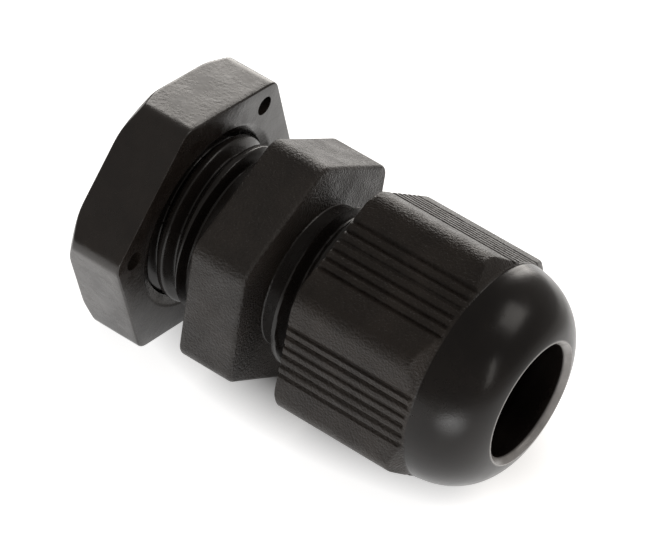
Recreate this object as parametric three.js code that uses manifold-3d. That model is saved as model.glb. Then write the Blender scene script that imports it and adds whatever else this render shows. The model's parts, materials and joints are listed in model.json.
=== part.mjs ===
// A plastic cable gland for an M12 x 1.5 hole, lying on its side.
// Units are millimetres. X runs along the gland from the lock nut to the dome,
// Z is up, and stations are measured from the hexagon's sealing face.

import * as THREE from 'three';
import { mergeVertices } from 'three/addons/utils/BufferGeometryUtils.js';
import Module from 'manifold-3d';

const wasm = await Module();
wasm.setup();

// ---------------------------------------------------------------- sizes

const degree = Math.PI / 180;
const clearance = 0.3;
const roundSides = 48;

// how far a cutter reaches past the solid it cuts, and an envelope past the crests it leaves alone
const overrun = 1;
const margin = 0.1;

// M12 x 1.5 thread, moulded with flat crests
const pitch = 1.5;
const crestRadius = 6.0;
const rootRadius = 5.2;
const crestWidth = 0.42;
const flankWidth = 0.45;
const threadPlay = 0.2;
const crestPlay = 0.6;
const threadSteps = 16;

// stations along the axis
const entryEnd = -8.6;
const entryThreadStop = -1.9;
const neckStart = -1.4;
const hexFront = 4.3;
const clampThreadStart = 5.6;
const clampThreadStop = 13.2;
const fingerRoot = 14.1;
const fingerTip = 18.3;
const lockNutBack = -8.55;
const lockNutFront = -4.1;
const nutRear = 7.8;
const hexEnd = 17.7;
const domeTip = 22.2;

// body
const neckRadius = 5.95;
const boreRadius = 3.4;
const seatRadius = 4.1;
const seatStart = 8.0;
const hexAcrossFlats = 15.8;
const hexCornerRounding = 1.2;
const hexTurn = 37.4;
const cornerSwings = [-30, -15, 0, 15, 30];
const leadIn = 0.6;

// clamping fingers
const fingerCount = 8;
const fingerWidth = 32;
const fingerOuter = 4.95;
const fingerInner = 4.15;
const fingerBevel = 0.35;

// rubber seal
const sealBack = 8.3;
const sealFront = 18.4;
const sealOuter = 3.85;
const sealInner = 3.3;
const sealBevel = 0.25;

// lock nut
const lockAcrossFlats = 17.5;
const lockCornerRounding = 1.2;
const lockChamferRise = 1.0;
const lockChamferLength = 0.75;
const countersinkRadius = 6.8;
const countersinkDepth = 0.9;
const dimpleRadius = 0.9;
const dimplePlace = 8.2;
const dimpleDepth = 0.6;
const dimpleAngles = [60, 180, 300];
const dimpleSides = 16;
const rimInner = 7.0;
const rimOuter = 8.3;
const rimThickness = 0.8;

// dome nut
const nutSides = 36;
const nutAcrossFlats = 15.6;
const nutCornerRounding = 1.6;
const nutTurn = 33.3;
const cornerEnd = 16.9;
const cornerReach = 8.8;
const groovesPerFlat = 6;
const groovePitch = 0.785;
const grooveWidth = 0.38;
const grooveDepth = 0.3;
const skirtRadius = 7.45;
const domeBase = 17.6;
const domeBaseRadius = 7.85;
const noseSweep = 78;
const noseSteps = 5;
const lipRadius = 4.6;
const lipChamfer = 0.42;
const holeRadius = 4.15;
const nutThreadStop = 11.4;
const reliefRadius = 6.35;
const pocketRadius = 5.7;
const pocketEnd = 21.3;
const coneStart = 17.6;
const coneEnd = 21.0;
const coneMouthRadius = 5.25;
const coneThroatRadius = 4.25;

const midLength = (entryEnd + domeTip) / 2;

// ---------------------------------------------------------------- colours

const nylon = new THREE.MeshStandardMaterial({ color: 0x231f20, roughness: 0.42, metalness: 0 });
const texturedNylon = new THREE.MeshStandardMaterial({ color: 0x262324, roughness: 0.6, metalness: 0 });
const rubber = new THREE.MeshStandardMaterial({ color: 0x171718, roughness: 0.75, metalness: 0 });

// ---------------------------------------------------------------- solids

// Turns a closed three.js geometry into a manifold solid with its faces out.
function solid(geometry) {
  geometry.deleteAttribute('normal');
  geometry.deleteAttribute('uv');
  const merged = mergeVertices(geometry, 1e-4);
  const corners = Array.from(merged.index.array);
  const triVerts = [];
  for (let i = 0; i < corners.length; i += 3) {
    const [a, b, c] = corners.slice(i, i + 3);
    if (a !== b && b !== c && c !== a) triVerts.push(a, b, c);
  }
  const place = new THREE.Vector3();
  const corner = [new THREE.Vector3(), new THREE.Vector3(), new THREE.Vector3()];
  const position = merged.getAttribute('position');
  let volume = 0;
  for (let i = 0; i < triVerts.length; i += 3) {
    corner.forEach((point, k) => point.fromBufferAttribute(position, triVerts[i + k]));
    volume += place.crossVectors(corner[1], corner[2]).dot(corner[0]);
  }
  if (volume < 0) triVerts.reverse();
  return new wasm.Manifold(new wasm.Mesh({
    numProp: 3,
    vertProperties: new Float32Array(position.array),
    triVerts: new Uint32Array(triVerts),
  }));
}

// Turns a manifold solid back into a named three.js mesh.
function named(name, manifold, material) {
  const { vertProperties, triVerts } = manifold.getMesh();
  const geometry = new THREE.BufferGeometry();
  geometry.setAttribute('position', new THREE.BufferAttribute(vertProperties, 3));
  geometry.setIndex(new THREE.BufferAttribute(triVerts, 1));
  geometry.computeVertexNormals();
  const mesh = new THREE.Mesh(geometry, material);
  mesh.name = name;
  return mesh;
}

// A closed outline of [station, radius] points turned round the X axis.
function turned(outline, segments = roundSides) {
  const points = outline.map(([station, radius]) => new THREE.Vector2(radius, station));
  if (outline[0][1] > 0) points.push(points[0].clone());
  const geometry = new THREE.LatheGeometry(points, segments);
  geometry.rotateZ(-Math.PI / 2);
  return solid(geometry);
}

function rod(from, to, radius, segments = roundSides) {
  return turned([[from, 0], [from, radius], [to, radius], [to, 0]], segments);
}

function ring(from, to, inner, outer) {
  return turned([[from, inner], [from, outer], [to, outer], [to, inner]]);
}

// A flat outline of [y, z] points drawn out along X.
function prism(outline, from, to) {
  const shape = new THREE.Shape(outline.map(([y, z]) => new THREE.Vector2(y, z)));
  const geometry = new THREE.ExtrudeGeometry(shape, { depth: to - from, bevelEnabled: false });
  geometry.rotateX(Math.PI / 2);
  geometry.rotateZ(Math.PI / 2);
  geometry.translate(from, 0, 0);
  return solid(geometry);
}

// A hexagon with rounded corners; the first corner stands at the turn angle from +Y.
function hexagon(acrossFlats, rounding, turn) {
  const cornerCentre = (acrossFlats / 2 - rounding) / Math.cos(30 * degree);
  const points = [];
  for (let corner = 0; corner < 6; corner += 1) {
    const middle = turn + corner * 60;
    for (const swing of cornerSwings) {
      const angle = (middle + swing) * degree;
      points.push([
        cornerCentre * Math.cos(middle * degree) + rounding * Math.cos(angle),
        cornerCentre * Math.sin(middle * degree) + rounding * Math.sin(angle),
      ]);
    }
  }
  return points;
}

// A right-hand threaded rod. Its crest passes the crest station at the +Y side,
// and play makes it fatter all round, as the cutter for a mating nut.
function threadedRod(from, to, crestStation, play) {
  const crest = crestRadius + play;
  const root = rootRadius + play;
  const halfCrest = crestWidth / 2 + play * crestPlay;
  const section = [
    [-pitch / 2, root],
    [-halfCrest - flankWidth, root],
    [-halfCrest, crest],
    [halfCrest, crest],
    [halfCrest + flankWidth, root],
  ];
  const rows = section.length;
  const start = crestStation - pitch * Math.ceil((crestStation - from) / pitch + 1);
  const turns = Math.ceil((to - start) / pitch) + 1;
  const last = turns * rows;
  const points = [];
  const place = (row, step) => {
    const [offset, radius] = section[row % rows];
    const along = start + pitch * (Math.floor(row / rows) + step / threadSteps) + offset;
    const angle = (step / threadSteps) * 2 * Math.PI;
    points.push(along, radius * Math.cos(angle), radius * Math.sin(angle));
  };
  for (let row = 0; row <= last; row += 1) {
    for (let step = 0; step < threadSteps; step += 1) place(row, step);
  }
  for (let row = last + 1; row <= last + rows; row += 1) place(row, 0);
  const index = (row, step) => {
    if (step === threadSteps) return index(row + rows, 0);
    return row <= last ? row * threadSteps + step : (last + 1) * threadSteps + row - last - 1;
  };
  const nearCentre = points.length / 3;
  points.push(start - pitch / 2, 0, 0);
  points.push(start + pitch * (turns + 0.5), 0, 0);
  const faces = [];
  for (let step = 0; step < threadSteps; step += 1) {
    for (let row = 0; row < last; row += 1) {
      const [a, b] = [index(row, step), index(row + 1, step)];
      const [c, d] = [index(row + 1, step + 1), index(row, step + 1)];
      faces.push(a, c, b, a, d, c);
    }
    faces.push(nearCentre, index(0, step + 1), index(0, step));
    faces.push(nearCentre + 1, index(last, step), index(last, step + 1));
  }
  for (let row = 0; row < rows; row += 1) {
    faces.push(nearCentre, index(row, 0), index(row + 1, 0));
    faces.push(nearCentre + 1, index(last + row + 1, 0), index(last + row, 0));
  }
  const geometry = new THREE.BufferGeometry();
  geometry.setAttribute('position', new THREE.Float32BufferAttribute(points, 3));
  geometry.setIndex(faces);
  return solid(geometry);
}

// ---------------------------------------------------------------- gland body

const entryCrest = -2.84;
const clampCrest = 6.5;

function glandBody() {
  const entryEnvelope = turned([
    [entryEnd, 0],
    [entryEnd, crestRadius - leadIn],
    [entryEnd + leadIn, crestRadius + margin],
    [entryThreadStop, crestRadius + margin],
    [entryThreadStop, rootRadius],
    [neckStart, rootRadius],
    [neckStart, neckRadius],
    [hexFront, neckRadius],
    [hexFront, 0],
  ]);
  const clampEnvelope = turned([
    [hexFront, 0],
    [hexFront, rootRadius],
    [clampThreadStart, rootRadius],
    [clampThreadStart, crestRadius + margin],
    [clampThreadStop - leadIn, crestRadius + margin],
    [clampThreadStop, fingerOuter + margin],
    [clampThreadStop, 0],
  ]);
  const bore = turned([
    [entryEnd - overrun, 0],
    [entryEnd - overrun, boreRadius],
    [seatStart, boreRadius],
    [seatStart, seatRadius],
    [fingerRoot + overrun, seatRadius],
    [fingerRoot + overrun, 0],
  ]);
  const entryThread = threadedRod(entryEnd, entryThreadStop, entryCrest, 0).intersect(entryEnvelope);
  const clampThread = threadedRod(clampThreadStart, clampThreadStop, clampCrest, 0).intersect(clampEnvelope);
  const hex = prism(hexagon(hexAcrossFlats, hexCornerRounding, hexTurn), 0, hexFront);
  return entryThread
    .add(rod(neckStart, hexFront / 2, neckRadius))
    .add(hex)
    .add(clampThread)
    .add(rod(hexFront / 2, clampThreadStart + overrun, rootRadius))
    .add(rod(clampThreadStop - overrun, fingerRoot, fingerOuter))
    .subtract(bore);
}

// One clamping finger, a slice of a tube that reaches forward from the body.
function clampingFinger(middle) {
  const root = fingerRoot + clearance;
  const tube = turned([
    [root, fingerInner],
    [root, fingerOuter],
    [fingerTip - fingerBevel, fingerOuter],
    [fingerTip, fingerOuter - fingerBevel],
    [fingerTip, fingerInner],
  ]);
  const reach = 2 * fingerOuter;
  const side = (swing) => {
    const angle = (middle + swing * fingerWidth / 2) * degree;
    return [reach * Math.cos(angle), reach * Math.sin(angle)];
  };
  return tube.intersect(prism([[0, 0], side(-1), side(1)], root - overrun, fingerTip + overrun));
}

function sealInsert() {
  return turned([
    [sealBack, sealInner],
    [sealBack, sealOuter - sealBevel],
    [sealBack + sealBevel, sealOuter],
    [sealFront - sealBevel, sealOuter],
    [sealFront, sealOuter - sealBevel],
    [sealFront, sealInner],
  ]);
}

// ---------------------------------------------------------------- lock nut

function lockNut() {
  const corner = lockAcrossFlats / 2 / Math.cos(30 * degree);
  const envelope = turned([
    [lockNutBack, 0],
    [lockNutBack, corner - lockChamferRise],
    [lockNutBack + lockChamferLength, corner],
    [lockNutFront, corner],
    [lockNutFront, 0],
  ]);
  const countersink = turned([
    [lockNutFront - countersinkDepth, 0],
    [lockNutFront - countersinkDepth, rootRadius],
    [lockNutFront + margin, countersinkRadius + margin],
    [lockNutFront + margin, 0],
  ]);
  let nut = prism(hexagon(lockAcrossFlats, lockCornerRounding, 0), lockNutBack, lockNutFront)
    .intersect(envelope)
    .subtract(threadedRod(lockNutBack, lockNutFront, entryCrest, threadPlay))
    .subtract(countersink)
    .subtract(ring(lockNutBack - overrun, lockNutBack + rimThickness + clearance,
      rimInner - clearance, rimOuter + clearance));
  for (const angle of dimpleAngles) {
    const dimple = rod(lockNutFront - dimpleDepth, lockNutFront + overrun, dimpleRadius, dimpleSides);
    nut = nut.subtract(dimple.translate([
      0,
      dimplePlace * Math.cos(angle * degree),
      dimplePlace * Math.sin(angle * degree),
    ]));
  }
  return nut;
}

function lockNutRim() {
  return ring(lockNutBack, lockNutBack + rimThickness, rimInner, rimOuter);
}

// ---------------------------------------------------------------- dome nut

// The rounded hexagon with a group of lengthwise grooves across each of its flats.
function groovedOutline() {
  const apothem = nutAcrossFlats / 2;
  const corners = hexagon(nutAcrossFlats, nutCornerRounding, nutTurn);
  const points = [];
  for (let flat = 0; flat < 6; flat += 1) {
    points.push(...corners.slice(flat * cornerSwings.length, (flat + 1) * cornerSwings.length));
    const facing = (nutTurn + 30 + flat * 60) * degree;
    const put = (out, along) => points.push([
      out * Math.cos(facing) - along * Math.sin(facing),
      out * Math.sin(facing) + along * Math.cos(facing),
    ]);
    for (let groove = 0; groove < groovesPerFlat; groove += 1) {
      const middle = (groove - (groovesPerFlat - 1) / 2) * groovePitch;
      put(apothem, middle - grooveWidth / 2);
      put(apothem - grooveDepth, middle);
      put(apothem, middle + grooveWidth / 2);
    }
  }
  return points;
}

// The nose's arc from the dome's base to its lip, then the chamfer of the cable hole.
function noseOutline() {
  const points = [];
  const length = (domeTip - domeBase) / Math.sin(noseSweep * degree);
  const drop = (domeBaseRadius - lipRadius) / (1 - Math.cos(noseSweep * degree));
  for (let step = 0; step <= noseSteps; step += 1) {
    const angle = (step / noseSteps) * noseSweep * degree;
    points.push([
      domeBase + length * Math.sin(angle),
      domeBaseRadius - drop * (1 - Math.cos(angle)),
    ]);
  }
  points.push([domeTip - lipChamfer, holeRadius]);
  return points;
}

function domeNut() {
  const core = turned([
    [nutRear, 0],
    [nutRear, skirtRadius],
    [domeBase, skirtRadius],
    ...noseOutline(),
    [domeTip - lipChamfer, 0],
  ], nutSides);
  const envelope = turned([
    [nutRear, 0],
    [nutRear, cornerReach],
    [cornerEnd, cornerReach],
    [hexEnd, domeBaseRadius],
    [hexEnd, 0],
  ], nutSides);
  const hex = prism(groovedOutline(), nutRear, hexEnd).intersect(envelope);
  const inside = turned([
    [nutThreadStop, 0],
    [nutThreadStop, reliefRadius],
    [coneStart - clearance, reliefRadius],
    [coneStart - clearance, pocketRadius],
    [pocketEnd, pocketRadius],
    [pocketEnd, 0],
  ], nutSides);
  return core
    .add(hex)
    .subtract(threadedRod(nutRear, nutThreadStop, clampCrest, threadPlay)
      .intersect(rod(nutRear - overrun, nutThreadStop + margin, crestRadius + overrun, nutSides)))
    .subtract(inside)
    .subtract(rod(pocketEnd - overrun, domeTip + overrun, holeRadius, nutSides));
}

function domeNutCone() {
  return turned([
    [coneStart, coneMouthRadius],
    [coneStart, pocketRadius - clearance],
    [coneEnd, pocketRadius - clearance],
    [coneEnd, coneThroatRadius],
  ]);
}

// ---------------------------------------------------------------- assembly

const gland = new THREE.Group();
gland.position.x = -midLength;
gland.add(named('gland_body', glandBody(), texturedNylon));
for (let finger = 0; finger < fingerCount; finger += 1) {
  const middle = finger * 360 / fingerCount;
  gland.add(named(`clamp_finger_${finger + 1}`, clampingFinger(middle), texturedNylon));
}
gland.add(named('seal_insert', sealInsert(), rubber));
gland.add(named('lock_nut', lockNut(), nylon));
gland.add(named('lock_nut_rim', lockNutRim(), nylon));
gland.add(named('dome_nut', domeNut(), nylon));
gland.add(named('dome_nut_cone', domeNutCone(), nylon));

const cableGland = new THREE.Group();
cableGland.add(gland);
cableGland.updateMatrixWorld(true);

export default cableGland;
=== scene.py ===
import json
import math
from collections import namedtuple

import bmesh
import bpy
import numpy as np
from mathutils import Matrix, Vector


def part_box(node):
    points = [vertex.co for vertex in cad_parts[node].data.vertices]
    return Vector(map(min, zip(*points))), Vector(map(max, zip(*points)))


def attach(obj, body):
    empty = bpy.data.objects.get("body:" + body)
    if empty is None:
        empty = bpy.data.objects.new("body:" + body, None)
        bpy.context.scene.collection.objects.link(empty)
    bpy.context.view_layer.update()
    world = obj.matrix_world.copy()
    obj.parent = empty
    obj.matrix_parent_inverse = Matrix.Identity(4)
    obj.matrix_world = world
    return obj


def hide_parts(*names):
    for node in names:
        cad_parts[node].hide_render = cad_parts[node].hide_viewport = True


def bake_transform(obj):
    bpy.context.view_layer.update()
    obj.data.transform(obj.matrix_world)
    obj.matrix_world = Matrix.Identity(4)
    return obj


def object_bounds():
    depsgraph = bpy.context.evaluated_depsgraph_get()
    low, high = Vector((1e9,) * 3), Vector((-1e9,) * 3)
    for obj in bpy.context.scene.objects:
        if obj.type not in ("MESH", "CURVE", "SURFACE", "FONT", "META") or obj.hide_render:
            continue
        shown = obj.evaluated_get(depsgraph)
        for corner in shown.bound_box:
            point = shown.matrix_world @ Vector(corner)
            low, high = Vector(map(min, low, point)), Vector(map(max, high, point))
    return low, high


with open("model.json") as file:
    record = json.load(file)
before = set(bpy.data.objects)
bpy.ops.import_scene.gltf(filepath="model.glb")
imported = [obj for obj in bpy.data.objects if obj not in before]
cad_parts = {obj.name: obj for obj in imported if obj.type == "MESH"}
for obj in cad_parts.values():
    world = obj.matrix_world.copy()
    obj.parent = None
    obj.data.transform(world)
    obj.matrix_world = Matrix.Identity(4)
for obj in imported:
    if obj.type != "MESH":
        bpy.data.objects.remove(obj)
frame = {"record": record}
CAD_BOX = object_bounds()

# ---------------------------------------------------------------- sizes
# Lengths are in millimetres and angles in degrees. Stations run along the
# gland's axis from the hexagon's sealing face, as they do in the CAD part.

MM = 0.001
MOUNTS = {mount["name"]: mount["pos_m"] for mount in frame["record"]["mounts"]}
SEALING_FACE = MOUNTS["panel_face"][0] / MM


def reach(node):
    """The first and last station of a CAD node."""
    low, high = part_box(node)
    return low[0] / MM - SEALING_FACE, high[0] / MM - SEALING_FACE


ENTRY_END = reach("gland_body")[0]
CROWN_START = reach("gland_body")[1]
LOCK_BACK, LOCK_FRONT = reach("lock_nut")
NUT_REAR, DOME_TIP = reach("dome_nut")
FINGER_ROOT, FINGER_TIP = reach("clamp_finger_1")
SEAL_BACK, SEAL_FRONT = reach("seal_insert")
LOCK_FLATS = (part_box("lock_nut")[1][2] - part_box("lock_nut")[0][2]) / MM

PITCH = 1.5
CREST_RADIUS = 6.0
ROOT_RADIUS = 5.2
CREST_WIDTH = 0.42
FLANK_WIDTH = 0.45
THREAD_ROUNDING = 0.12
THREAD_SAMPLES = 7
THREAD_PLAY = 0.2
PLAY_WIDENING = 0.6
ENTRY_CREST = -2.84
CLAMP_CREST = 6.5
ENTRY_THREAD_STOP = -1.9
CLAMP_THREAD_STOP = 13.2
LEAD_IN = 0.6
COLUMN_SPACING = 2.5
CLOSEST_COLUMNS = 0.12

NECK_START = -1.4
NECK_RADIUS = 5.95
HEX_FRONT = 4.3
HEX_FLATS = 15.8
HEX_ROUNDING = 1.28
HEX_TURN = 37.4
HEX_EDGE = 0.28
RELIEF_STOP = 5.6
BORE_RADIUS = 3.4
END_FACE_RADIUS = 4.4
SEAT_RADIUS = 4.1
SEAT_START = 8.0

LOCK_ROUNDING = 1.2
LOCK_EDGE = 0.14
CHAMFER_RISE = 1.0
CHAMFER_LENGTH = 0.75
COUNTERSINK_RADIUS = 6.8
COUNTERSINK_DEPTH = 0.9
DIMPLE_ANGLES = (60, 180, 300)
DIMPLE_RADIUS = 0.7
DIMPLE_PLACE = 8.2
DIMPLE_DEPTH = 1.3
DIMPLE_OVERSHOOT = 0.3

NUT_FLATS = 15.6
NUT_ROUNDING = 1.6
NUT_TURN = 33.3
NUT_EDGE = 0.14
REAR_RADIUS = 8.55
CORNER_RADIUS = 8.8
CORNER_START = NUT_REAR + 0.25
CORNER_END = 16.9
HEX_END = 17.7
SHOULDER_END = HEX_END + 0.3
GROOVES_PER_FLAT = 6
GROOVE_PITCH = 0.785
GROOVE_WIDTH = 0.46
GROOVE_DEPTH = 0.21
SKIRT_RADIUS = 7.45
DOME_BASE = 17.6
DOME_BASE_RADIUS = 7.83
NUT_COLUMN_SPACING = 2.4
CORNER_BLEND = 0.16
BASE_BLEND = 0.08
NOSE_START = 2
NOSE_SWEEP = 78
NOSE_RINGS = 34
LIP_RADIUS = 4.52
LIP_CHAMFER = 0.3
HOLE_RADIUS = 4.15
NUT_THREAD_STOP = 11.4
RELIEF_RADIUS = 6.35
CONE_START, CONE_END = reach("dome_nut_cone")
CONE_MOUTH_RADIUS = 5.25
CONE_THROAT_RADIUS = 4.25
MOUTH_RADIUS = 6.7

FINGER_COUNT = 8
FINGER_WIDTH = 32
FINGER_OUTER = 4.95
FINGER_INNER = 4.15
SEAL_OUTER = 3.85
SEAL_INNER = 3.3

MERGE_DISTANCE = 0.002
SPECK_LENGTH = 0.001
SHARP_ANGLE = 32


# ---------------------------------------------------------------- mesh tools


def smooth_min(a, b, blend):
    """The smaller of two values, with the corner between them rounded over blend."""
    overlap = np.maximum(blend - np.abs(a - b), 0) / blend
    return np.minimum(a, b) - overlap * overlap * blend / 4


def smooth_max(a, b, blend):
    """The larger of two values, with the corner between them rounded over blend."""
    return -smooth_min(-a, -b, blend)


def wrapped(angle, period):
    """An angle brought into the range of half a period either side of zero."""
    return (angle + period / 2) % period - period / 2


def around(spacing, *features):
    """Column angles every spacing degrees, with the features' own angles added.
    Of two angles that lie too close together, the larger is left out."""
    angles = list(np.arange(0, 360, spacing))
    for feature in features:
        angles += [angle % 360 for angle in feature]
    angles = np.sort(np.array(angles))
    keep = np.append(True, np.diff(angles) > spacing * CLOSEST_COLUMNS)
    return angles[keep]


def object_of(name, points, faces):
    mesh = bpy.data.meshes.new(name)
    mesh.from_pydata([tuple(point) for point in points], [], faces)
    made = bpy.data.objects.new(name, mesh)
    bpy.context.scene.collection.objects.link(made)
    return made


def ring_solid(name, rows, angles, closed=True):
    """A solid of rings round the axis. A row is a station and a radius, or a radius per angle.
    A closed solid joins its last ring to its first; an open one is capped at both ends."""
    turn = np.radians(angles)
    points = []
    for station, radius in rows:
        ring = np.empty((len(turn), 3))
        ring[:, 0] = station
        ring[:, 1] = radius * np.cos(turn)
        ring[:, 2] = radius * np.sin(turn)
        points.append(ring)
    count = len(turn)
    total = len(points)
    faces = []
    for row in range(total if closed else total - 1):
        here, there = row * count, (row + 1) % total * count
        for column in range(count):
            beside = (column + 1) % count
            faces.append((here + column, here + beside, there + beside, there + column))
    if not closed:
        faces.append(tuple(reversed(range(count))))
        faces.append(tuple(range((total - 1) * count, total * count)))
    return object_of(name, np.concatenate(points), faces)


def cut(base, cutter):
    """Takes the cutter's volume out of the base solid."""
    change = base.modifiers.new("cut", "BOOLEAN")
    change.operation = "DIFFERENCE"
    change.solver = "MANIFOLD"
    change.object = cutter
    shown = base.evaluated_get(bpy.context.evaluated_depsgraph_get())
    mesh = bpy.data.meshes.new_from_object(shown)
    base.modifiers.clear()
    base.data = mesh
    bpy.data.objects.remove(cutter)


def finish_piece(piece, material):
    """Brings a piece from stations in millimetres to the frame in metres, and sets its shading."""
    piece.data.transform(Matrix.Scale(MM, 4) @ Matrix.Translation((SEALING_FACE, 0, 0)))
    work = bmesh.new()
    work.from_mesh(piece.data)
    bmesh.ops.remove_doubles(work, verts=work.verts, dist=MERGE_DISTANCE * MM)
    bmesh.ops.dissolve_degenerate(work, edges=work.edges, dist=SPECK_LENGTH * MM)
    bmesh.ops.recalc_face_normals(work, faces=work.faces)
    work.to_mesh(piece.data)
    work.free()
    piece.data.shade_smooth()
    piece.data.set_sharp_from_angle(angle=math.radians(SHARP_ANGLE))
    shading = piece.modifiers.new("shading", "WEIGHTED_NORMAL")
    shading.keep_sharp = True
    piece.data.materials.clear()
    piece.data.materials.append(material)
    return piece


# ---------------------------------------------------------------- shapes


def thread(station, angles, crest_station, play=0.0):
    """The radius of a right-hand thread at a station, all the way round."""
    offset = wrapped(station - crest_station - PITCH * angles / 360, PITCH)
    total = 0
    window = np.linspace(-0.5, 0.5, THREAD_SAMPLES) * THREAD_ROUNDING
    for shift in window:
        off_crest = np.abs(wrapped(offset + shift, PITCH)) - CREST_WIDTH / 2
        off_crest -= play * PLAY_WIDENING
        drop = np.clip(off_crest / FLANK_WIDTH, 0, 1)
        total = total + CREST_RADIUS + play - (CREST_RADIUS - ROOT_RADIUS) * drop
    return total / len(window)


def hexagon(angles, flats, rounding, turn):
    """The radius of a hexagon with rounded corners, a corner standing at the turn angle."""
    off_corner = np.radians(np.abs(wrapped(angles - turn, 60)))
    apothem = flats / 2
    centre = (apothem - rounding) / math.cos(math.radians(30))
    flat = apothem / np.cos(math.radians(30) - off_corner)
    inside = np.clip(rounding**2 - (centre * np.sin(off_corner)) ** 2, 0, None)
    arc = centre * np.cos(off_corner) + np.sqrt(inside)
    arc_end = math.atan2(rounding * 0.5, centre + rounding * math.cos(math.radians(30)))
    return np.where(off_corner < arc_end, arc, flat)


def corner_columns(turn, reach_out=9, spacing=0.9):
    """Closely spaced angles round the six corners of a hexagon."""
    spread = np.arange(-reach_out, reach_out + spacing / 2, spacing)
    return [turn + 60 * corner + offset for corner in range(6) for offset in spread]


def rounded_end(station, inward, radius_at, edge, direction, steps=5):
    """Rings that round the edge of an outline over to a flat end face.
    Direction is +1 where the solid lies ahead of the station, -1 where it lies behind."""
    rows = []
    for step in range(steps + 1):
        angle = math.radians(90 * step / steps)
        rows.append((
            station + direction * edge * (1 - math.sin(angle)),
            radius_at - edge * (1 - math.cos(angle)),
        ))
    for share in (0.35, 0.7, 1):
        rows.append((station, (radius_at - edge) * (1 - share) + inward * share))
    return rows


def stations(start, stop, spacing):
    return np.linspace(start, stop, max(2, round(abs(stop - start) / spacing) + 1))


def envelope(station, points):
    """A radius that runs straight between [station, radius] points."""
    return np.interp(station, [point[0] for point in points], [point[1] for point in points])


# ---------------------------------------------------------------- gland body


def gland_body():
    angles = around(COLUMN_SPACING, corner_columns(HEX_TURN))
    hexagonal = hexagon(angles, HEX_FLATS, HEX_ROUNDING, HEX_TURN)
    entry_limit = [
        [ENTRY_END, CREST_RADIUS - LEAD_IN],
        [ENTRY_END + LEAD_IN, CREST_RADIUS + 0.1],
        [ENTRY_THREAD_STOP - 0.25, CREST_RADIUS + 0.1],
        [ENTRY_THREAD_STOP + 0.05, ROOT_RADIUS + 0.05],
        [NECK_START, ROOT_RADIUS + 0.05],
    ]
    clamp_limit = [
        [RELIEF_STOP, ROOT_RADIUS + 0.1],
        [RELIEF_STOP + 0.08, CREST_RADIUS],
        [CLAMP_THREAD_STOP - LEAD_IN, CREST_RADIUS + 0.1],
        [CLAMP_THREAD_STOP, FINGER_OUTER],
    ]
    rows = [(ENTRY_END, BORE_RADIUS + 0.15), (ENTRY_END, END_FACE_RADIUS)]
    for station in stations(ENTRY_END, NECK_START, 0.06):
        limit = envelope(station, entry_limit)
        rows.append((station, smooth_min(thread(station, angles, ENTRY_CREST), limit, 0.08)))
    rows += [
        (NECK_START, NECK_RADIUS - 0.12),
        (NECK_START + 0.04, NECK_RADIUS - 0.04),
        (NECK_START + 0.12, NECK_RADIUS),
        (-0.25, NECK_RADIUS),
        (-0.1, NECK_RADIUS + 0.04),
        (0, NECK_RADIUS + 0.15),
    ]
    rear = rounded_end(0, NECK_RADIUS + 0.3, hexagonal, HEX_EDGE, 1)
    rows += list(reversed(rear))
    rows += [(station, hexagonal) for station in stations(0.6, HEX_FRONT - 0.6, 0.8)]
    rows += rounded_end(HEX_FRONT, ROOT_RADIUS + 0.35, hexagonal, HEX_EDGE, -1)
    rows += [
        (HEX_FRONT, ROOT_RADIUS + 0.2),
        (HEX_FRONT + 0.06, ROOT_RADIUS + 0.05),
        (HEX_FRONT + 0.2, ROOT_RADIUS),
    ]
    for station in stations(RELIEF_STOP - 0.1, CLAMP_THREAD_STOP, 0.07):
        limit = envelope(station, clamp_limit)
        rows.append((station, smooth_min(thread(station, angles, CLAMP_CREST), limit, 0.06)))
    rows += [
        (CROWN_START - 0.1, FINGER_OUTER),
        (CROWN_START, FINGER_OUTER - 0.1),
        (CROWN_START, SEAT_RADIUS + 0.1),
        (CROWN_START - 0.1, SEAT_RADIUS),
        (SEAT_START, SEAT_RADIUS),
        (SEAT_START, BORE_RADIUS + 0.1),
        (SEAT_START - 0.1, BORE_RADIUS),
        (ENTRY_END + 0.15, BORE_RADIUS),
    ]
    piece = ring_solid("body_shell", rows, angles)
    finish_piece(piece, MATT_NYLON)
    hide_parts("gland_body")
    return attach(piece, "body")


# ---------------------------------------------------------------- lock nut


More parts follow.
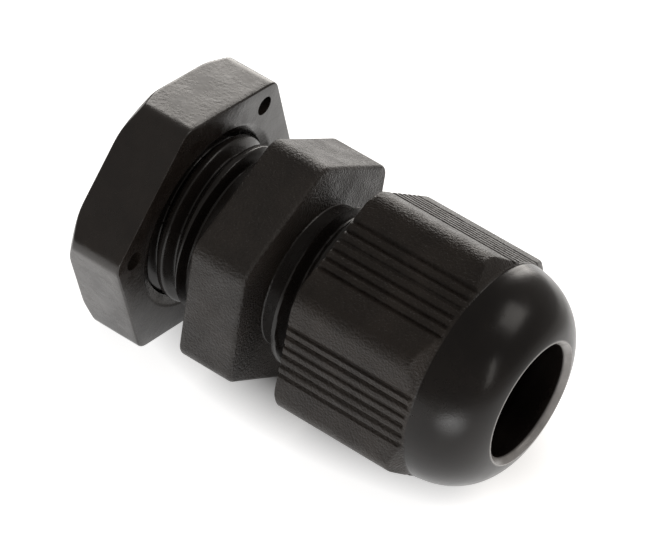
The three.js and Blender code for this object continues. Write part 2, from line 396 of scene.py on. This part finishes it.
def lock_nut():
    angles = around(COLUMN_SPACING, corner_columns(0))
    outline = hexagon(angles, LOCK_FLATS, LOCK_ROUNDING, 0)
    sharp_corner = LOCK_FLATS / 2 / math.cos(math.radians(30))
    rows = []
    inner_limit = [
        [LOCK_BACK, CREST_RADIUS + THREAD_PLAY + 0.2],
        [LOCK_BACK + 0.7, ROOT_RADIUS - 0.5],
        [LOCK_FRONT - COUNTERSINK_DEPTH - 0.1, ROOT_RADIUS - 0.5],
        [LOCK_FRONT, COUNTERSINK_RADIUS],
    ]
    for station in stations(LOCK_FRONT, LOCK_BACK, 0.07):
        limit = envelope(station, inner_limit)
        groove = thread(station, angles, ENTRY_CREST, THREAD_PLAY)
        rows.append((station, smooth_max(groove, limit, 0.08)))

    def chamfered(station, inset=0.0):
        cone = sharp_corner - CHAMFER_RISE + (station - LOCK_BACK) * CHAMFER_RISE / CHAMFER_LENGTH
        return smooth_min(outline - inset, cone - inset, 0.12)

    mouth = CREST_RADIUS + THREAD_PLAY + 0.3
    rear_rim = chamfered(LOCK_BACK, LOCK_EDGE)
    for share in (0.25, 0.5, 0.75, 1):
        rows.append((LOCK_BACK, mouth * (1 - share) + rear_rim * share))
    for step in (1, 2, 3, 4):
        angle = math.radians(90 * step / 4)
        station = LOCK_BACK + LOCK_EDGE * (1 - math.cos(angle))
        rows.append((station, chamfered(station, LOCK_EDGE * (1 - math.sin(angle)))))
    for station in stations(LOCK_BACK + 0.25, LOCK_BACK + 1.3, 0.1):
        rows.append((station, chamfered(station)))
    for station in stations(LOCK_BACK + 1.5, LOCK_FRONT - 0.5, 0.6):
        rows.append((station, outline))
    rows += rounded_end(LOCK_FRONT, COUNTERSINK_RADIUS + 0.12, outline, LOCK_EDGE, -1)
    piece = ring_solid("lock_nut_shell", rows, angles)
    for angle in DIMPLE_ANGLES:
        cut(piece, dimple(angle))
    finish_piece(piece, GLOSS_NYLON)
    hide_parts("lock_nut", "lock_nut_rim")
    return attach(piece, "lock_nut")


def dimple(angle):
    """A cutter for one round mark on the front face, a well with a rounded floor."""
    rows = []
    for swing in np.radians([12, 28, 44, 60, 75, 90]):
        station = LOCK_FRONT - DIMPLE_DEPTH * math.cos(swing)
        rows.append((station, DIMPLE_RADIUS * math.sin(swing)))
    rows.append((LOCK_FRONT + DIMPLE_OVERSHOOT, DIMPLE_RADIUS))
    cutter = ring_solid("dimple", rows, np.arange(0, 360, 10), closed=False)
    turn = math.radians(angle)
    place = (0, DIMPLE_PLACE * math.cos(turn), DIMPLE_PLACE * math.sin(turn))
    cutter.data.transform(Matrix.Translation(place))
    bpy.context.view_layer.update()
    return cutter


# ---------------------------------------------------------------- dome nut


def grooved(angles):
    """The dome nut's outline, a rounded hexagon with a group of grooves across each flat."""
    off_flat = np.radians(wrapped(angles - NUT_TURN - 30, 60))
    along = NUT_FLATS / 2 * np.tan(off_flat)
    off_groove = np.abs(wrapped(along - GROOVE_PITCH / 2, GROOVE_PITCH))
    wall = np.clip(1 - off_groove / (GROOVE_WIDTH / 2), 0, 1)
    wall *= np.abs(along) < GROOVES_PER_FLAT / 2 * GROOVE_PITCH
    depth = GROOVE_DEPTH * wall * wall * (3 - 2 * wall)
    return hexagon(angles, NUT_FLATS, NUT_ROUNDING, NUT_TURN) - depth / np.cos(off_flat)


def groove_columns():
    """Closely spaced angles across every groove."""
    shares = np.array([-1, -0.82, -0.6, -0.36, -0.15, 0, 0.15, 0.36, 0.6, 0.82, 1])
    across = shares * GROOVE_WIDTH / 2
    middles = (np.arange(GROOVES_PER_FLAT) - (GROOVES_PER_FLAT - 1) / 2) * GROOVE_PITCH
    along = (middles[:, None] + across).ravel()
    off_flat = np.degrees(np.arctan(along / (NUT_FLATS / 2)))
    return [NUT_TURN + 30 + 60 * flat + offset for flat in range(6) for offset in off_flat]


def nose(angle):
    """A point of the dome's arc, from its base at 0 degrees to its lip."""
    length = (DOME_TIP - DOME_BASE) / math.sin(math.radians(NOSE_SWEEP))
    drop = (DOME_BASE_RADIUS - LIP_RADIUS) / (1 - math.cos(math.radians(NOSE_SWEEP)))
    turn = math.radians(angle)
    return DOME_BASE + length * math.sin(turn), DOME_BASE_RADIUS - drop * (1 - math.cos(turn))


def nut_surface(station, outline):
    """The radius of the grooved hexagon and of the dome's base together at one station."""
    slope = (CORNER_RADIUS - DOME_BASE_RADIUS) / (HEX_END - CORNER_END)
    front_limit = CORNER_RADIUS - (station - CORNER_END) * slope
    rise = CORNER_RADIUS - REAR_RADIUS
    rear_limit = REAR_RADIUS + (station - NUT_REAR) * rise / (CORNER_START - NUT_REAR)
    raised = smooth_min(outline, min(front_limit, rear_limit), CORNER_BLEND)
    into_edge = max(0, NUT_EDGE - (station - NUT_REAR))
    raised = raised - NUT_EDGE + math.sqrt(NUT_EDGE**2 - into_edge**2)
    base = envelope(station, [
        [DOME_BASE - 0.4, SKIRT_RADIUS],
        [DOME_BASE - 0.1, DOME_BASE_RADIUS - 0.05],
        [DOME_BASE, DOME_BASE_RADIUS],
    ])
    return smooth_max(raised, base, BASE_BLEND)


def dome_nut():
    corners = corner_columns(NUT_TURN, reach_out=12, spacing=1.2)
    angles = around(NUT_COLUMN_SPACING, groove_columns(), corners)
    outline = grooved(angles)
    rows = [(NUT_REAR, MOUTH_RADIUS + 0.1), (NUT_REAR, outline - NUT_EDGE - 0.3)]
    for step in range(6):
        station = NUT_REAR + NUT_EDGE * (1 - math.cos(math.radians(15 * step)))
        rows.append((station, nut_surface(station, outline)))
    near_rear = stations(NUT_REAR + NUT_EDGE, NUT_REAR + 0.6, 0.06)
    along_flats = stations(9, 16, 1)
    over_shoulder = stations(16.4, DOME_BASE + 0.02, 0.05)
    for station in (*near_rear, *along_flats, *over_shoulder):
        rows.append((station, nut_surface(station, outline)))
    for angle in np.linspace(NOSE_START, NOSE_SWEEP, NOSE_RINGS):
        station, radius = nose(angle)
        if station < SHOULDER_END:
            radius = smooth_max(nut_surface(station, outline), radius, BASE_BLEND)
        rows.append((station, radius))
    rows += [
        (DOME_TIP, LIP_RADIUS - 0.05),
        (DOME_TIP - 0.03, LIP_RADIUS - 0.09),
        (DOME_TIP - LIP_CHAMFER, HOLE_RADIUS + 0.04),
        (DOME_TIP - LIP_CHAMFER - 0.08, HOLE_RADIUS),
        (CONE_END + 0.35, HOLE_RADIUS),
        (CONE_END, CONE_THROAT_RADIUS),
        (CONE_START, CONE_MOUTH_RADIUS),
        (CONE_START, RELIEF_RADIUS),
        (NUT_THREAD_STOP, RELIEF_RADIUS),
    ]
    inner_limit = [
        [NUT_REAR, MOUTH_RADIUS],
        [NUT_REAR + 0.9, ROOT_RADIUS],
        [NUT_THREAD_STOP, ROOT_RADIUS],
    ]
    for station in stations(NUT_THREAD_STOP, NUT_REAR, 0.1):
        limit = envelope(station, inner_limit)
        groove = thread(station, angles, CLAMP_CREST, THREAD_PLAY)
        rows.append((station, smooth_max(groove, limit, 0.1)))
    piece = ring_solid("dome_nut_shell", rows, angles)
    finish_piece(piece, SATIN_NYLON)
    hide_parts("dome_nut", "dome_nut_cone")
    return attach(piece, "dome_nut")


# ---------------------------------------------------------------- claws and seal


def claw_angle(number):
    return (number - 1) * 360 / FINGER_COUNT


def sector(name, middle, width, profile, corner):
    """A slice of a turned shape. A profile row is a station, two radii and a side inset."""
    sweep = np.linspace(-1, 1, 13)
    last = len(sweep) - 1
    at_side = np.abs(sweep) > 0.99
    points = []
    for station, inner, outer, inset in profile:
        half = math.radians(width / 2) - inset * 2 / (inner + outer)
        turn = math.radians(middle) + sweep * half
        low = inner + corner * at_side
        high = outer - corner * at_side
        radii = np.concatenate((low, high[::-1]))
        turns = np.concatenate((turn, turn[::-1]))
        points += [(station, r * math.cos(t), r * math.sin(t)) for r, t in zip(radii, turns)]
    count = 2 * len(sweep)
    faces = []
    for row in range(len(profile) - 1):
        here, there = row * count, (row + 1) * count
        for column in range(count):
            beside = (column + 1) % count
            faces.append((here + column, here + beside, there + beside, there + column))
    for start in (0, (len(profile) - 1) * count):
        for column in range(last):
            across = start + count - 1 - column
            faces.append((start + column, start + column + 1, across - 1, across))
    return object_of(name, points, faces)


def clamping_claw(number):
    """One claw of the crown, with the thin web that joins it to the body."""
    web = CROWN_START - 0.25
    profile = [
        (web, FINGER_INNER + 0.1, FINGER_OUTER - 0.1, 0.1),
        (CROWN_START + 0.05, FINGER_INNER + 0.1, FINGER_OUTER - 0.1, 0.1),
        (FINGER_ROOT + 0.1, FINGER_INNER, FINGER_OUTER, 0),
        (FINGER_ROOT + 0.8, FINGER_INNER, FINGER_OUTER, 0),
        (FINGER_TIP - 1.2, FINGER_INNER, FINGER_OUTER, 0),
        (FINGER_TIP - 0.4, FINGER_INNER, FINGER_OUTER - 0.02, 0),
        (FINGER_TIP - 0.1, FINGER_INNER + 0.05, FINGER_OUTER - 0.25, 0.05),
        (FINGER_TIP, FINGER_INNER + 0.15, FINGER_OUTER - 0.4, 0.15),
    ]
    piece = sector(f"claw_{number}", claw_angle(number), FINGER_WIDTH, profile, 0.06)
    finish_piece(piece, MATT_NYLON)
    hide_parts(f"clamp_finger_{number}")
    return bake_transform(piece)


def seal_lobe(number):
    """One eighth of the rubber sleeve, lying under the claw of its number, its back in the seat."""
    profile = [
        (SEAL_BACK, SEAL_INNER, SEAL_OUTER - 0.2, 0),
        (SEAL_BACK + 0.2, SEAL_INNER, SEAL_OUTER, 0),
    ]
    for station in stations(SEAL_BACK + 1, SEAL_FRONT - 0.5, 0.6):
        profile.append((station, SEAL_INNER, SEAL_OUTER, 0))
    profile += [
        (SEAL_FRONT - 0.15, SEAL_INNER, SEAL_OUTER, 0),
        (SEAL_FRONT - 0.04, SEAL_INNER + 0.04, SEAL_OUTER - 0.1, 0),
        (SEAL_FRONT, SEAL_INNER + 0.13, SEAL_OUTER - 0.2, 0),
    ]
    piece = sector(f"seal_lobe_{number}", claw_angle(number), 360 / FINGER_COUNT, profile, 0)
    finish_piece(piece, SEAL_RUBBER)
    if number == 1:
        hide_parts("seal_insert")
    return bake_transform(piece)


# ---------------------------------------------------------------- materials


class Nodes:
    """A short way to add and link the shader nodes of one material."""

    def __init__(self, name):
        self.material = bpy.data.materials.new(name)
        self.material.use_nodes = True
        self.tree = self.material.node_tree
        self.surface = self.tree.nodes["Principled BSDF"]
        self.place = self.add("ShaderNodeTexCoord").outputs["Object"]

    def add(self, kind, **settings):
        node = self.tree.nodes.new(kind)
        for name, value in settings.items():
            setattr(node, name, value)
        return node

    def link(self, output, socket):
        self.tree.links.new(output, socket)

    def noise(self, size, detail=3.0, roughness=0.5):
        """Noise whose grains are about size millimetres across."""
        node = self.add("ShaderNodeTexNoise")
        node.inputs["Scale"].default_value = 1 / (size * MM)
        node.inputs["Detail"].default_value = detail
        node.inputs["Roughness"].default_value = roughness
        self.link(self.place, node.inputs["Vector"])
        return node.outputs["Fac"]

    def ramp(self, value, low, high, start=0.35, stop=0.65):
        """The value turned into a number from low to high."""
        node = self.add("ShaderNodeMapRange")
        node.inputs["From Min"].default_value = start
        node.inputs["From Max"].default_value = stop
        node.inputs["To Min"].default_value = low
        node.inputs["To Max"].default_value = high
        self.link(value, node.inputs["Value"])
        return node.outputs["Result"]

    def mix(self, value, first, second):
        """A colour between two others, each given as three numbers or as an output."""
        node = self.add("ShaderNodeMix", data_type="RGBA")
        for socket, colour in (("A", first), ("B", second)):
            if isinstance(colour, tuple):
                node.inputs[socket].default_value = (*colour, 1)
            else:
                self.link(colour, node.inputs[socket])
        self.link(value, node.inputs["Factor"])
        return node.outputs["Result"]

    def blend(self, value, first, second):
        """A number between two others, all of them outputs."""
        node = self.add("ShaderNodeMix", data_type="FLOAT")
        for socket, output in (("Factor", value), ("A", first), ("B", second)):
            self.link(output, node.inputs[socket])
        return node.outputs["Result"]

    def math(self, operation, first, second):
        node = self.add("ShaderNodeMath", operation=operation)
        self.link(first, node.inputs[0])
        self.link(second, node.inputs[1])
        return node.outputs["Value"]

    def product(self, first, second):
        return self.math("MULTIPLY", first, second)

    def distance(self, keep, centre=(0, 0, 0)):
        """How far the surface lies from a centre, with each axis weighted by its number in keep."""
        shifted = self.add("ShaderNodeVectorMath", operation="SUBTRACT")
        shifted.inputs[1].default_value = centre
        self.link(self.place, shifted.inputs[0])
        kept = self.add("ShaderNodeVectorMath", operation="MULTIPLY")
        kept.inputs[1].default_value = keep
        self.link(shifted.outputs["Vector"], kept.inputs[0])
        length = self.add("ShaderNodeVectorMath", operation="LENGTH")
        self.link(kept.outputs["Vector"], length.inputs[0])
        return length.outputs["Value"]

    def bump(self, heights):
        """Bump from (height, strength, distance in millimetres) layers, one over the other."""
        below = None
        for height, strength, distance in heights:
            node = self.add("ShaderNodeBump")
            node.inputs["Strength"].default_value = strength
            node.inputs["Distance"].default_value = distance * MM
            self.link(height, node.inputs["Height"])
            if below is not None:
                self.link(below, node.inputs["Normal"])
            below = node.outputs["Normal"]
        self.link(below, self.surface.inputs["Normal"])


# A finish has a darkest and a lightest colour, a range of roughness, and the size and depth in
# millimetres of the mould's grain. The sizes below are of the noise behind each effect.
Finish = namedtuple("Finish", "dark light rough grain depth")
DRIFT_SIZE = 4.0
SHEEN_SIZE = 1.4
RIPPLE_SIZE = 3.0
GRAIN_DETAIL = 2.0
GRAIN_ROUGHNESS = 0.6
GRAIN_FADE = 0.15
# The colour, the radial fade and the depth from the tip in millimetres of the painted highlight, a
# pale ring round the dome's lip.
LIP_HIGHLIGHT_COLOUR = (0.31, 0.298, 0.29)
LIP_HIGHLIGHT_FADE = 0.1
LIP_HIGHLIGHT_DEPTH = (0.35, 0.5)
NYLON_IOR = 1.53


def moulded_plastic(name, finish, shine, ripple, grained=None, hexagon=None, painted_lip_highlight=False):
    """Moulded plastic: a drift of colour, uneven gloss, the mould's grain and a cooling ripple.
    A second, grained finish can cover the stations of a hexagon, and a painted highlight, a pale
    ring, can be laid round the dome's lip."""
    nodes = Nodes(name)
    drift = nodes.ramp(nodes.noise(DRIFT_SIZE, 9.0, 0.7), 0, 1)
    sheen = nodes.noise(SHEEN_SIZE, 5.0, 0.6)
    colour = nodes.mix(drift, finish.dark, finish.light)
    rough = nodes.ramp(sheen, *finish.rough)
    waves = nodes.noise(RIPPLE_SIZE, 1.0)
    grain = nodes.noise(finish.grain, GRAIN_DETAIL, GRAIN_ROUGHNESS)
    layers = [(waves, 1.0, ripple), (grain, 1.0, finish.depth)]
    if grained:
        start, stop = hexagon
        middle = (((start + stop) / 2 + SEALING_FACE) * MM, 0, 0)
        half = (stop - start) / 2 * MM
        from_middle = nodes.distance((1, 0, 0), middle)
        inside = nodes.ramp(from_middle, 1, 0, half, half + GRAIN_FADE * MM)
        colour = nodes.mix(inside, colour, nodes.mix(drift, grained.dark, grained.light))
        rough = nodes.blend(inside, rough, nodes.ramp(sheen, *grained.rough))
        coarse = nodes.noise(grained.grain, GRAIN_DETAIL, GRAIN_ROUGHNESS)
        layers.append((nodes.product(coarse, inside), 1.0, grained.depth))
    # Painted highlight: a pale ring round the dome's lip, patchy with the sheen noise, stands in
    # for the light the lip reflects.
    if painted_lip_highlight:
        tip = ((DOME_TIP + SEALING_FACE) * MM, 0, 0)
        rim = LIP_RADIUS * MM, (LIP_RADIUS + LIP_HIGHLIGHT_FADE) * MM
        depth = LIP_HIGHLIGHT_DEPTH[0] * MM, LIP_HIGHLIGHT_DEPTH[1] * MM
        by_radius = nodes.ramp(nodes.distance((0, 1, 1)), 1, 0, *rim)
        by_depth = nodes.ramp(nodes.distance((1, 0, 0), tip), 1, 0, *depth)
        lip_highlight = nodes.product(nodes.product(by_radius, by_depth), nodes.ramp(sheen, 0.7, 1))
        colour = nodes.mix(lip_highlight, colour, LIP_HIGHLIGHT_COLOUR)
    nodes.link(colour, nodes.surface.inputs["Base Color"])
    nodes.link(rough, nodes.surface.inputs["Roughness"])
    nodes.surface.inputs["IOR"].default_value = NYLON_IOR
    nodes.surface.inputs["Specular IOR Level"].default_value = shine
    nodes.bump(layers)
    return nodes.material


GLOSS_NYLON = moulded_plastic(
    "gloss_nylon",
    Finish(
        dark=(0.011, 0.0082, 0.0068), light=(0.022, 0.017, 0.0142),
        rough=(0.17, 0.34), grain=0.3, depth=0.01,
    ),
    shine=0.5,
    ripple=0.035,
)
MATT_NYLON = moulded_plastic(
    "matt_nylon",
    Finish(
        dark=(0.008, 0.0062, 0.0054), light=(0.014, 0.0112, 0.0096),
        rough=(0.22, 0.32), grain=0.3, depth=0.006,
    ),
    shine=0.4,
    ripple=0.01,
    grained=Finish(
        dark=(0.012, 0.009, 0.0072), light=(0.027, 0.0212, 0.0175),
        rough=(0.38, 0.52), grain=0.17, depth=0.13,
    ),
    hexagon=(0, HEX_FRONT),
)
SATIN_NYLON = moulded_plastic(
    "satin_nylon",
    Finish(
        dark=(0.006, 0.0048, 0.0044), light=(0.011, 0.0088, 0.0076),
        rough=(0.2, 0.27), grain=0.12, depth=0.006,
    ),
    shine=0.25,
    ripple=0.012,
    grained=Finish(
        dark=(0.014, 0.0107, 0.0087), light=(0.03, 0.0237, 0.0195),
        rough=(0.36, 0.48), grain=0.17, depth=0.11,
    ),
    hexagon=(NUT_REAR, HEX_END),
    # The dome's lip gets a pale ring painted on as a highlight.
    painted_lip_highlight=True,
)
SEAL_RUBBER = moulded_plastic(
    "seal_rubber",
    Finish(
        dark=(0.04, 0.035, 0.032), light=(0.06, 0.054, 0.05),
        rough=(0.6, 0.75), grain=0.25, depth=0.02,
    ),
    shine=0.4,
    ripple=0.02,
)


# ---------------------------------------------------------------- build

gland_body()
lock_nut()
dome_nut()
for number in range(1, FINGER_COUNT + 1):
    clamping_claw(number)
    seal_lobe(number)

# ---------------------------------------------------------------- camera, floor and light

VIEW_AZIMUTH = 27.617
VIEW_ELEVATION = 34.061
VIEW_ROLL = 13.823
VIEW_DISTANCE = 294.19
VIEW_AIM = (5.90 + SEALING_FACE, 0.22, 0.80)
VIEW_LENS = 243.0
VIEW_CLIP = (0.01, 10)

# The floor glows, as a lit table does. Two brighter glowing spots, behind and in front, are
# painted light that the dome reflects as its highlights. Places and reaches are in metres. A glow
# is full up to its first reach and gone at its second. Below the gland the glow is cut away as a
# painted contact shadow, darkest up to its first reach.
FLOOR_SIZE = 3.0
FLOOR_PALE = ((0.86, 0.86, 0.86), (0.88, 0.88, 0.88))
FLOOR_ROUGHNESS = 0.9
FLOOR_DRIFT = 120
AROUND_GLOW = 0.88
AROUND_REACH = (0.042, 0.07)
# The centre, axis weights and reaches of the painted contact shadow below the gland.
UNDER_SHADOW_CENTRE = (0, 0.005, 0)
UNDER_SHADOW_SHAPE = (0.6, 1, 0)
UNDER_SHADOW_REACH = (0.005, 0.011)
BEHIND = (-0.055, 0.14, 0)
BEHIND_GLOW = 1.2
BEHIND_REACH = (0.05, 0.11)
IN_FRONT = (0.0285, -0.0245, 0)
IN_FRONT_GLOW = 6.0
IN_FRONT_REACH = (0.002, 0.012)

WORLD_LIGHT = 0.3
WORLD_TINT = (1, 0.95, 0.9)
WARM = (1, 0.96, 0.91)

# Name, azimuth, elevation, distance and size in millimetres, power in watts.
PANELS = (
    ("back_panel", 207, 18, 400, (250, 220), 0.85),
    ("high_window", 123, 51, 350, (160, 160), 0.22),
    ("side_strip", 77, 16, 350, (24, 130), 0.055),
)


def toward(azimuth, elevation):
    """The direction from the gland to a place round it. Azimuth 0 is on the -Y side."""
    a, e = math.radians(azimuth), math.radians(elevation)
    return Vector((math.sin(a) * math.cos(e), -math.cos(a) * math.cos(e), math.sin(e)))


def add_camera():
    data = bpy.data.cameras.new("camera")
    data.lens = VIEW_LENS
    data.clip_start, data.clip_end = VIEW_CLIP
    camera = bpy.data.objects.new("camera", data)
    bpy.context.scene.collection.objects.link(camera)
    back = toward(VIEW_AZIMUTH, VIEW_ELEVATION)
    level = back.to_track_quat("Z", "Y").to_matrix()
    camera.matrix_world = (
        Matrix.Translation((Vector(VIEW_AIM) + back * VIEW_DISTANCE) * MM)
        @ (level @ Matrix.Rotation(math.radians(VIEW_ROLL), 3, "Z")).to_4x4()
    )
    bpy.context.scene.camera = camera


def add_panel(name, azimuth, elevation, distance, size, power):
    """A soft rectangular light that faces the gland."""
    data = bpy.data.lights.new(name, "AREA")
    data.shape = "RECTANGLE"
    data.size, data.size_y = size[0] * MM, size[1] * MM
    data.energy = power
    data.color = WARM
    panel = bpy.data.objects.new(name, data)
    bpy.context.scene.collection.objects.link(panel)
    away = toward(azimuth, elevation)
    panel.location = away * distance * MM
    panel.rotation_mode = "QUATERNION"
    panel.rotation_quaternion = away.to_track_quat("Z", "Y")


def add_floor():
    low = CAD_BOX[0][2]
    sides = ((-1, -1), (1, -1), (1, 1), (-1, 1))
    corners = [(FLOOR_SIZE * x, FLOOR_SIZE * y, low) for x, y in sides]
    floor = object_of("floor", corners, [(0, 1, 2, 3)])
    nodes = Nodes("floor_paint")
    shade = nodes.ramp(nodes.noise(FLOOR_DRIFT, 2.0), 0, 1)
    nodes.link(nodes.mix(shade, *FLOOR_PALE), nodes.surface.inputs["Base Color"])
    nodes.surface.inputs["Roughness"].default_value = FLOOR_ROUGHNESS
    nodes.surface.inputs["Emission Color"].default_value = (1, 1, 1, 1)
    flat = (1, 1, 0)
    around_gland = nodes.ramp(nodes.distance(flat), AROUND_GLOW, 0.0, *AROUND_REACH)
    # Painted contact shadow: the floor's glow is cut away below the gland.
    painted_shadow_under_gland = nodes.ramp(nodes.distance(UNDER_SHADOW_SHAPE, UNDER_SHADOW_CENTRE), 0.0, 1.0, *UNDER_SHADOW_REACH)
    behind = nodes.ramp(nodes.distance(flat, BEHIND), BEHIND_GLOW, 0.0, *BEHIND_REACH)
    in_front = nodes.ramp(nodes.distance(flat, IN_FRONT), IN_FRONT_GLOW, 0.0, *IN_FRONT_REACH)
    spots = nodes.math("ADD", behind, in_front)
    glow = nodes.math("ADD", nodes.product(around_gland, painted_shadow_under_gland), spots)
    nodes.link(glow, nodes.surface.inputs["Emission Strength"])
    floor.data.materials.append(nodes.material)


def add_world():
    world = bpy.data.worlds.new("studio")
    world.use_nodes = True
    background = world.node_tree.nodes["Background"]
    background.inputs["Color"].default_value = (*WORLD_TINT, 1)
    background.inputs["Strength"].default_value = WORLD_LIGHT
    bpy.context.scene.world = world
    bpy.context.scene.view_settings.view_transform = "Standard"


add_camera()
add_floor()
add_world()
for panel in PANELS:
    add_panel(*panel)
